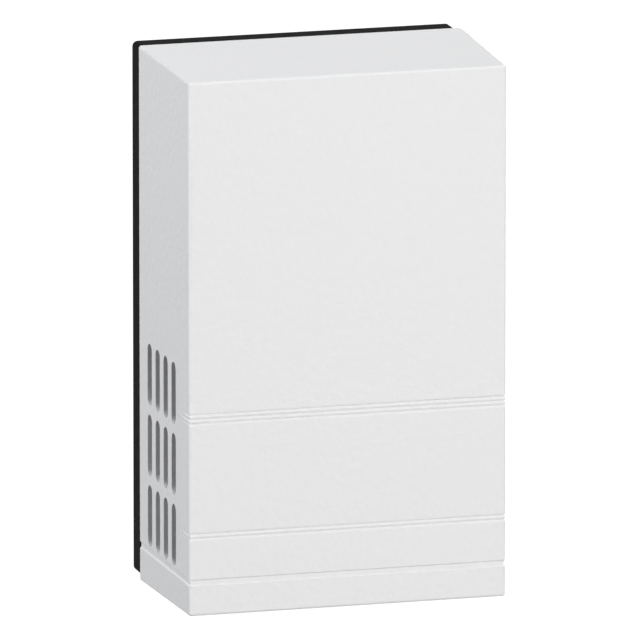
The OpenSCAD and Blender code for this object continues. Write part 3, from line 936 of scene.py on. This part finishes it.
@dataclass
class ReturnSpring:
    """Compression spring between the yoke's left ear and the collar of the left tip, in millimetres.

    Attributes:
        seat_x: Face of the collar.
        ear_x: Face of the yoke's ear.
        radius: Mean radius of the turns.
        wire: Thickness of the wire.
        bend: Length of the bend at each end.
        turns: Number of turns.
        axis_depth: Distance of the axis from the wall.
        axis_height: Height of the axis.
        turn_steps: Points in one turn.
        bend_steps: Points in one bend.
        roundness: Points that each quarter of the wire's section gains.
    """

    seat_x: float = -35.0
    ear_x: float = -12.4
    radius: float = 5.4
    wire: float = 0.7
    bend: float = 1.1
    turns: int = 7
    axis_depth: float = 46.2
    axis_height: float = -16.2
    turn_steps: int = 28
    bend_steps: int = 8
    roundness: int = 2

    def course(self) -> list[tuple[float, float]]:
        """Lists the wire's way as distances from the seat and angles about the axis.

        Returns:
            Pairs of millimetres and radians.
        """
        rise = self.ear_x - self.seat_x
        turn = self.bend / self.radius
        helix = rise - 2 * (self.wire + self.bend)
        last = 2 * turn + 2 * math.pi * self.turns
        quarter = [math.pi / 2 * k / self.bend_steps for k in range(self.bend_steps + 1)]
        start = [(self.wire + self.bend * math.sin(a), turn * (1 - math.cos(a))) for a in quarter]
        count = self.turns * self.turn_steps
        coil = [
            (self.wire + self.bend + helix * k / count, turn + 2 * math.pi * self.turns * k / count)
            for k in range(1, count)
        ]
        end = [(rise - s, last - a) for s, a in reversed(start)]
        return [(0.0, 0.0), *start, *coil, *end, (rise, last)]

    def build(self) -> None:
        """Winds the spring between the yoke's ear and the collar of the left tip."""
        path = [
            at(
                self.seat_x + s,
                self.axis_depth - self.radius * math.cos(a),
                self.axis_height + self.radius * math.sin(a),
            )
            for s, a in self.course()
        ]
        spring = round_wire(path, self.wire, self.roundness)
        settle(spring, "return_spring_wire", SPRING_WIRE)
        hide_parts("return_spring")
        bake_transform(spring)


@dataclass
class Solenoid:
    """Yoke and coil, with the coil's bobbin, tags and tape, in millimetres.

    Attributes:
        edge: Rounding of the yoke's pressed edges.
        bobbin_edge: Rounding of the bobbin's rims.
        tag_edge: Rounding of the solder tags' punched edges.
        coil_left: Left end of the bobbin.
        coil_right: Right end of the bobbin.
        flange: Thickness of the bobbin's flanges.
        tape_inner: Inner radius of the tape.
        tape_outer: Outer radius of the tape.
        lap_height: Step where the tape's end lies over its start.
        lap_start: Degrees above the room's side at which the lap starts.
        lap_end: Degrees above the room's side at which it ends.
        axis_depth: Distance of the axis from the wall.
        axis_height: Height of the axis.
        tape_sides: Faces round the tape.
    """

    edge: float = 0.2
    bobbin_edge: float = 0.2
    tag_edge: float = 0.1
    coil_left: float = -10.7
    coil_right: float = 23.3
    flange: float = 1.8
    tape_inner: float = 12.6
    tape_outer: float = 12.9
    lap_height: float = 0.15
    lap_start: float = 20.0
    lap_end: float = 75.0
    axis_depth: float = 46.2
    axis_height: float = -16.2
    tape_sides: int = 96

    def build(self) -> None:
        """Builds the yoke, the bobbin, its tags and the tape."""
        soften("solenoid_yoke", "yoke_strip", self.edge, ZINC_STEEL, Body.BASE)
        soften("coil_bobbin", "coil_spool", self.bobbin_edge, NATURAL_NYLON, Body.BASE)
        soften("coil_tags", "solder_tags", self.tag_edge, TINNED_BRASS, Body.BASE)
        self.wrap_tape()

    def wrap_tape(self) -> None:
        """Wraps the tape as a sleeve whose last stretch lies over the first."""
        length = self.coil_right - self.coil_left - 2 * self.flange
        bpy.ops.object.select_all(action="DESELECT")
        bpy.ops.mesh.primitive_cylinder_add(
            vertices=self.tape_sides,
            radius=self.tape_outer * MM,
            depth=length * MM,
            end_fill_type="NOTHING",
            location=at((self.coil_left + self.coil_right) / 2, self.axis_depth, self.axis_height),
            rotation=(0.0, math.pi / 2, 0.0),
        )
        tape = bpy.context.object
        bpy.ops.object.transform_apply(location=True, rotation=True, scale=True)
        middle = at(0.0, self.axis_depth, self.axis_height)

        def in_lap(face: bmesh.types.BMFace) -> bool:
            """Tells whether a face lies where the tape is double."""
            away = face.calc_center_median() - middle
            return self.lap_start < math.degrees(math.atan2(away.z, -away.y)) < self.lap_end

        with editing(tape):
            select_faces(tape, in_lap)
            bpy.ops.mesh.extrude_region_shrink_fatten(
                TRANSFORM_OT_shrink_fatten={"value": self.lap_height * MM}
            )
        apply_modifier(
            tape,
            "SOLIDIFY",
            {"thickness": (self.tape_outer - self.tape_inner) * MM, "offset": -1.0},
        )
        close_up(tape)
        settle(tape, "coil_tape_wrap", FILM_TAPE)
        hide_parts("coil_tape")
        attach(tape, Body.BASE.value)


@dataclass
class Terminals:
    """Two-pole terminal block with its four slotted clamp screws, in millimetres.

    Attributes:
        edge: Rounding of the block's rims.
        poles: Places of the two poles along x.
        clamps: Depth of the tip and height of the lower and the upper screw of a pole.
        screw_d: Thickness of a clamp screw.
        screw_l: Length of a clamp screw.
        screw_edge: Rounding of its two ends.
        slot_w: Width of its slot.
        slot_depth: Depth of its slot.
        sides: Faces round a clamp screw.
    """

    edge: float = 0.2
    poles: tuple[float, float] = (-8.0, 8.0)
    clamps: tuple[tuple[float, float], ...] = ((10.65, 34.05), (11.7, 45.55))
    screw_d: float = 2.2
    screw_l: float = 6.4
    screw_edge: float = 0.2
    slot_w: float = 0.7
    slot_depth: float = 1.0
    sides: int = 48

    def build(self) -> None:
        """Builds the block and its clamp screws."""
        soften(
            "terminal_block",
            "terminal_housing",
            self.edge,
            TERMINAL_NYLON,
            Body.BASE,
            even=True,
        )
        self.turn_clamp_screws()

    def turn_clamp_screws(self) -> None:
        """Turns one slotted screw, sets it and its copies in the clamps and joins the four."""
        bpy.ops.object.select_all(action="DESELECT")
        bpy.ops.mesh.primitive_cylinder_add(
            vertices=self.sides,
            radius=self.screw_d / 2 * MM,
            depth=self.screw_l * MM,
            location=(0.0, 0.0, self.screw_l / 2 * MM),
        )
        screw = bpy.context.object
        bpy.ops.object.transform_apply(location=True, rotation=True, scale=True)
        with editing(screw):
            select_faces(screw, lambda face: abs(face.normal.z) > FLAT)
            bpy.ops.mesh.bevel(offset=self.screw_edge * MM, segments=3, affect="EDGES")
        cut_slot(screw, 2 * self.screw_d, self.slot_w, self.slot_depth, self.screw_l)
        close_up(screw, SCREW_SHARP)
        places = [(x, depth, z) for x in self.poles for depth, z in self.clamps]
        screws = [screw, *(copy_of(screw) for _ in places[1:])]
        for copy, place in zip(screws, places):
            point_at_wall(copy, place)
        pick(screw)
        for copy in screws:
            copy.select_set(True)
        bpy.ops.object.join()
        settle(screw, "clamp_screws", SCREW_STEEL)
        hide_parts("terminal_screws")
        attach(screw, Body.BASE.value)


@dataclass
class CrossScrews:
    """Cross-headed pan screws of the works, in millimetres.

    Attributes:
        head_d: Width of a head.
        head_h: Height of a head.
        shank_d: Thickness of a shank.
        crown: Rounding of a head's top.
        cross_w: Width of the recess's arms.
        cross_depth: Depth of the recess.
        cross_share: Length of the recess as a share of the head.
        sides: Faces round a head.
        yoke_l: Length of a yoke screw below its head.
        yoke_low: Place of the lower yoke screw's head, as x, depth and height.
        yoke_high: Place of the upper yoke screw's head.
        block_l: Length of the block's screw below its head.
        block: Place of the block screw's head.
    """

    head_d: float = 5.8
    head_h: float = 2.2
    shank_d: float = 3.0
    crown: float = 0.9
    cross_w: float = 0.9
    cross_depth: float = 1.1
    cross_share: float = 0.6
    sides: int = 48
    yoke_l: float = 9.6
    yoke_low: tuple[float, float, float] = (6.3, 31.6, -34.6)
    yoke_high: tuple[float, float, float] = (6.3, 31.6, 2.2)
    block_l: float = 7.2
    block: tuple[float, float, float] = (0.0, 9.2, 39.8)

    def model(self, length: float) -> bpy.types.Object:
        """Models one screw that stands upright, with the underside of its head on the origin.

        Args:
            length: Length below the head.

        Returns:
            The screw as one object.
        """
        bpy.ops.object.select_all(action="DESELECT")
        bpy.ops.mesh.primitive_cylinder_add(
            vertices=self.sides,
            radius=self.head_d / 2 * MM,
            depth=self.head_h * MM,
            location=(0.0, 0.0, self.head_h / 2 * MM),
        )
        screw = bpy.context.object
        bpy.ops.object.transform_apply(location=True, rotation=True, scale=True)
        with editing(screw):
            select_faces(screw, lambda face: face.normal.z > FLAT)
            bpy.ops.mesh.bevel(offset=self.crown * MM, segments=5, affect="EDGES")
            select_faces(screw, lambda face: face.normal.z < -FLAT)
            bpy.ops.mesh.inset(thickness=(self.head_d - self.shank_d) / 2 * MM)
            bpy.ops.mesh.extrude_region_move(
                TRANSFORM_OT_translate={"value": (0.0, 0.0, -length * MM)}
            )
        for turn in (0.0, math.pi / 2):
            cut_slot(screw, self.head_d * self.cross_share, self.cross_w, self.cross_depth, self.head_h, turn)
        close_up(screw, SCREW_SHARP)
        return screw

    def fit(self, screw: bpy.types.Object, name: str, node: str, place: tuple[float, float, float]) -> None:
        """Puts a screw in its place for a CAD node.

        Args:
            screw: Screw that stands upright on the origin.
            name: Name of the piece.
            node: CAD node that it stands for.
            place: Place of its head, as x, depth and height.
        """
        point_at_wall(screw, place)
        settle(screw, name, SCREW_STEEL)
        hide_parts(node)
        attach(screw, Body.BASE.value)

    def build(self) -> None:
        """Sets the two yoke screws and the block's screw in their places."""
        low = self.model(self.yoke_l)
        high = copy_of(low)
        self.fit(low, "yoke_pan_screw_low", "yoke_screws", self.yoke_low)
        self.fit(high, "yoke_pan_screw_high", "yoke_screws", self.yoke_high)
        self.fit(self.model(self.block_l), "block_pan_screw", "block_screw", self.block)


@dataclass
class CoilLead:
    """Insulated lead from a solder tag to a terminal barrel, in millimetres.

    Attributes:
        side: Side of the terminal block that it goes to.
        tag: Top of its solder tag, as x, depth and height.
        mouth: Lower mouth of its barrel, as x, depth and height.
        finish: Its insulation.
        slot: Record slot of its insulation; not used.
        diameter: Thickness over the insulation.
        straight: Straight length at each end.
        start: First stretch above the tag.
        inset: Length inside the barrel.
        sag: Shares of the way between the straight ends, and the drops there.
        steps: Points between two points of the route.
        roundness: Points that each quarter of the lead's section gains.
        bead_sides: Faces round the solder bead before it is smoothed.
        bead_r: Radius of the bead's foot.
        bead_foot: Height of the bead's foot.
        bead_levels: Rise and change of width of each level above the foot.
        bead_stretch: Stretch of the bead along x, y and z.
        bead_drop: Distance of the foot's middle below the tag's top.
    """

    side: Side
    tag: tuple[float, float, float]
    mouth: tuple[float, float, float]
    finish: Finish
    slot: Slot
    diameter: float = 1.6
    straight: float = 3.5
    start: float = 1.0
    inset: float = 8.0
    sag: tuple[tuple[float, float], ...] = ((0.3, 1.0), (0.6, 3.0), (0.85, 3.5))
    steps: int = 10
    roundness: int = 3
    bead_sides: int = 24
    bead_r: float = 1.0
    bead_foot: float = 0.4
    bead_levels: tuple[tuple[float, float], ...] = (
        (0.5, 1.12),
        (0.6, 1.08),
        (0.6, 0.92),
        (0.6, 0.84),
        (0.5, 0.86),
    )
    bead_stretch: tuple[float, float, float] = (0.95, 1.45, 1.0)
    bead_drop: float = 1.2

    def route(self) -> list[Vector]:
        """Lists the points that the lead goes through.

        Returns:
            Points in metres.
        """
        rise = Vector((0.0, 0.0, MM))
        tag = at(*self.tag)
        mouth = at(*self.mouth)
        leave = tag + self.straight * rise
        enter = mouth - self.straight * rise
        slack = [leave.lerp(enter, share) - drop * rise for share, drop in self.sag]
        return [tag, tag + self.start * rise, leave, *slack, enter, mouth, mouth + self.inset * rise]

    def path(self) -> list[Vector]:
        """Draws one smooth curve through the route.

        Returns:
            Points in metres.
        """
        route = self.route()
        points = [route[0]]
        for i in range(len(route) - 1):
            a, b, c, d = (route[min(max(k, 0), len(route) - 1)] for k in (i - 1, i, i + 1, i + 2))
            for k in range(1, self.steps + 1):
                t = k / self.steps
                points.append(
                    0.5 * (
                        2 * b
                        + (c - a) * t
                        + (2 * a - 5 * b + 4 * c - d) * t**2
                        + (3 * b - a - 3 * c + d) * t**3
                    )
                )
        return points

    def build(self) -> None:
        """Draws the lead and the solder that holds it to its tag."""
        lead = round_wire(self.path(), self.diameter, self.roundness)
        settle(lead, f"coil_lead_{self.side.value}", self.finish)
        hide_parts(f"lead_wire_{self.side.value}")
        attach(lead, Body.BASE.value)
        self.solder()

    def solder(self) -> None:
        """Models the bead of solder round the tag's top and the lead's bare end."""
        x, depth, z = self.tag
        bpy.ops.object.select_all(action="DESELECT")
        bpy.ops.mesh.primitive_cylinder_add(
            vertices=self.bead_sides,
            radius=self.bead_r * MM,
            depth=self.bead_foot * MM,
        )
        bead = bpy.context.object
        with editing(bead):
            select_faces(bead, lambda face: face.normal.z > FLAT)
            for rise, share in self.bead_levels:
                bpy.ops.mesh.extrude_region_move(TRANSFORM_OT_translate={"value": (0.0, 0.0, rise * MM)})
                bpy.ops.transform.resize(value=(share, share, 1.0), center_override=(0.0, 0.0, 0.0))
        apply_modifier(bead, "SUBSURF", {"levels": 2, "render_levels": 2})
        bead.scale = self.bead_stretch
        bead.location = at(x, depth, z - self.bead_drop)
        settle(bead, f"solder_bead_{self.side.value}", SOLDER)
        close_up(bead)
        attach(bead, Body.BASE.value)


@dataclass(frozen=True)
class Lamp:
    """One soft studio lamp, aimed at the chime.

    Attributes:
        name: What the lamp does.
        azimuth: Degrees from the front towards the right.
        elevation: Degrees above the level.
        distance: Metres from the chime.
        size: Width of its face in metres.
        watts: Its power.
        colour: Colour of its light as sRGB hex.
    """

    name: str
    azimuth: float
    elevation: float
    distance: float
    size: float
    watts: float
    colour: str = WHITE

    def hang(self, target: Vector) -> None:
        """Hangs the lamp and turns it to a target.

        Args:
            target: Point in metres that it faces.
        """
        away = towards(self.azimuth, self.elevation)
        light = bpy.data.lights.new(self.name, "AREA")
        light.size = self.size
        light.energy = self.watts
        light.color = linear(self.colour)[:3]
        lamp = bpy.data.objects.new(self.name, light)
        lamp.location = target + self.distance * away
        lamp.rotation_euler = (-away).to_track_quat("-Z", "Y").to_euler()
        lamp.visible_camera = False
        bpy.context.scene.collection.objects.link(lamp)


@dataclass
class Studio:
    """Pale studio with soft lamps, and the camera of the photograph.

    Attributes:
        azimuth: Camera's degrees from the front towards the right.
        elevation: Camera's degrees above the level.
        distance: Camera's metres from the wall's middle.
        aside: Metres that the camera stands to its right.
        above: Metres that the camera stands up.
        focal_px: Focal length in pixels of the image.
        image_px: Width of the image in pixels.
        sensor: Width of the camera's sensor in millimetres.
        reach: Metres that the camera sees.
        floor_drop: Metres from the chime's middle down to the floor.
        floor_size: Width of the floor in metres.
        floor_colour: Colour of the floor as sRGB hex.
        floor_glow: White that the floor adds in the camera's eyes below the chime.
        sweep: Metres from the middle at which the floor has turned all white.
        sky: Strength of the light from all round.
        aim_depth: Millimetres from the wall to the point that the lamps face.
        lamps: Lamps of the studio.
    """

    azimuth: float = -15.463
    elevation: float = 12.623
    distance: float = 6.0
    aside: float = 0.0101
    above: float = -0.00811
    focal_px: float = 16259.9
    image_px: float = 638.0
    sensor: float = 36.0
    reach: float = 200.0
    floor_drop: float = 0.9
    floor_size: float = 60.0
    floor_colour: str = "#9A9A9A"
    floor_glow: float = 0.55
    sweep: float = 2.2
    sky: float = 0.226
    aim_depth: float = 40.0
    lamps: tuple[Lamp, ...] = (
        Lamp("key_lamp", azimuth=8.5, elevation=11.0, distance=1.7, size=0.5, watts=20.7),
        Lamp(
            "left_lamp",
            azimuth=-95.0,
            elevation=37.0,
            distance=1.7,
            size=0.9,
            watts=19.3,
            colour="#FAFBFF",
        ),
        Lamp("right_lamp", azimuth=113.0, elevation=39.0, distance=1.2, size=0.7, watts=4.8),
        Lamp("back_lamp", azimuth=160.0, elevation=-12.0, distance=1.7, size=0.6, watts=20.0),
    )

    def build(self) -> None:
        """Sets up the colour, the camera, the sky, the floor and the lamps."""
        bpy.context.scene.view_settings.view_transform = "Standard"
        self.stand_camera()
        self.light_sky()
        self.lay_floor()
        for lamp in self.lamps:
            lamp.hang(at(0.0, self.aim_depth, 0.0))

    def stand_camera(self) -> None:
        """Stands the camera where the photograph was taken from."""
        turn = math.radians(self.azimuth)
        back = towards(self.azimuth, self.elevation)
        right = Vector((math.cos(turn), math.sin(turn), 0.0))
        up = back.cross(right)
        camera = bpy.data.cameras.new("photo_camera")
        camera.sensor_width = self.sensor
        camera.lens = self.focal_px * self.sensor / self.image_px
        camera.clip_end = self.reach
        stand = bpy.data.objects.new("photo_camera", camera)
        turned = Matrix((right, up, back)).transposed().to_4x4()
        place = self.distance * back + self.aside * right + self.above * up
        stand.matrix_world = Matrix.Translation(place) @ turned
        bpy.context.scene.collection.objects.link(stand)
        bpy.context.scene.camera = stand

    def seen_white(self, tree: bpy.types.NodeTree) -> bpy.types.NodeSocket:
        """Tells the rays that show the background from those that light the chime.

        Args:
            tree: Node tree that gets the test.

        Returns:
            A socket that is one for camera, glossy and transmission rays.
        """
        ray = add_node(tree, "ShaderNodeLightPath")
        shine = add_node(
            tree,
            "ShaderNodeMath",
            {"operation": "MAXIMUM"},
            {0: ray.outputs["Is Glossy Ray"], 1: ray.outputs["Is Transmission Ray"]},
        )
        either = add_node(
            tree,
            "ShaderNodeMath",
            {"operation": "MAXIMUM"},
            {0: ray.outputs["Is Camera Ray"], 1: shine.outputs[0]},
        )
        return either.outputs[0]

    def light_sky(self) -> None:
        """Lights the chime from all round, and shows white behind it."""
        world = bpy.data.worlds.new("studio_sky")
        world.use_nodes = True
        bpy.context.scene.world = world
        tree = world.node_tree
        soft = tree.nodes["Background"]
        soft.inputs["Color"].default_value = linear(WHITE)
        soft.inputs["Strength"].default_value = self.sky
        white = add_node(tree, "ShaderNodeBackground", {"Color": linear(WHITE), "Strength": 1.0})
        both = add_node(
            tree,
            "ShaderNodeMixShader",
            {},
            {0: self.seen_white(tree), 1: soft.outputs["Background"], 2: white.outputs["Background"]},
        )
        tree.links.new(both.outputs["Shader"], tree.nodes["World Output"].inputs["Surface"])

    def lay_floor(self) -> None:
        """Lays the pale floor that takes the chime's shadow."""
        bpy.ops.object.select_all(action="DESELECT")
        bpy.ops.mesh.primitive_plane_add(size=self.floor_size, location=(0.0, 0.0, -self.floor_drop))
        floor = bpy.context.object
        floor.name = "studio_floor"
        paint = bpy.data.materials.new("studio_floor_paint")
        paint.use_nodes = True
        tree = paint.node_tree
        shader = tree.nodes["Principled BSDF"]
        shader.inputs["Base Color"].default_value = linear(self.floor_colour)
        shader.inputs["Roughness"].default_value = 1.0
        shader.inputs["Specular IOR Level"].default_value = 0.0
        place = add_node(tree, "ShaderNodeTexCoord")
        away = add_node(
            tree,
            "ShaderNodeVectorMath",
            {"operation": "LENGTH"},
            {0: place.outputs["Object"]},
        )
        rise = add_node(
            tree,
            "ShaderNodeMapRange",
            {"From Max": self.sweep, "To Min": self.floor_glow, "To Max": 1.0},
            {"Value": away.outputs["Value"]},
        )
        glow = add_node(
            tree,
            "ShaderNodeMath",
            {"operation": "MULTIPLY"},
            {0: self.seen_white(tree), 1: rise.outputs["Result"]},
        )
        white = add_node(
            tree,
            "ShaderNodeEmission",
            {"Color": linear(WHITE)},
            {"Strength": glow.outputs[0]},
        )
        both = add_node(
            tree,
            "ShaderNodeAddShader",
            {},
            {0: shader.outputs["BSDF"], 1: white.outputs["Emission"]},
        )
        tree.links.new(both.outputs["Shader"], tree.nodes["Material Output"].inputs["Surface"])
        floor.data.materials.append(paint)


def dress_nodes() -> None:
    """Gives every CAD node the finish of its real material."""
    for node, finish in NODE_FINISHES.items():
        dress(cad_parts[node], finish)
        LOG.info("%s: %s", node, finish.name)


def main() -> None:
    """Builds the studio and the chime's sub-assemblies in order."""
    logging.basicConfig(level=logging.INFO, format="%(name)s %(message)s")
    dress_nodes()
    sub_assemblies = (
        Studio(),
        CoilLead(
            Side.LEFT,
            tag=(21.4, 50.2, 7.35),
            mouth=(-8.0, 9.8, 28.8),
            finish=RED_PVC,
            slot=Slot.LEAD_RED,
        ),
        CoilLead(
            Side.RIGHT,
            tag=(21.4, 42.2, 7.35),
            mouth=(8.0, 9.8, 28.8),
            finish=BLACK_PVC,
            slot=Slot.LEAD_BLACK,
        ),
        Housing(),
        TonePlates(),
        Striker(),
        ReturnSpring(),
        Solenoid(),
        Terminals(),
        CrossScrews(),
    )
    for sub_assembly in sub_assemblies:
        sub_assembly.build()


if __name__ == "__main__":
    main()
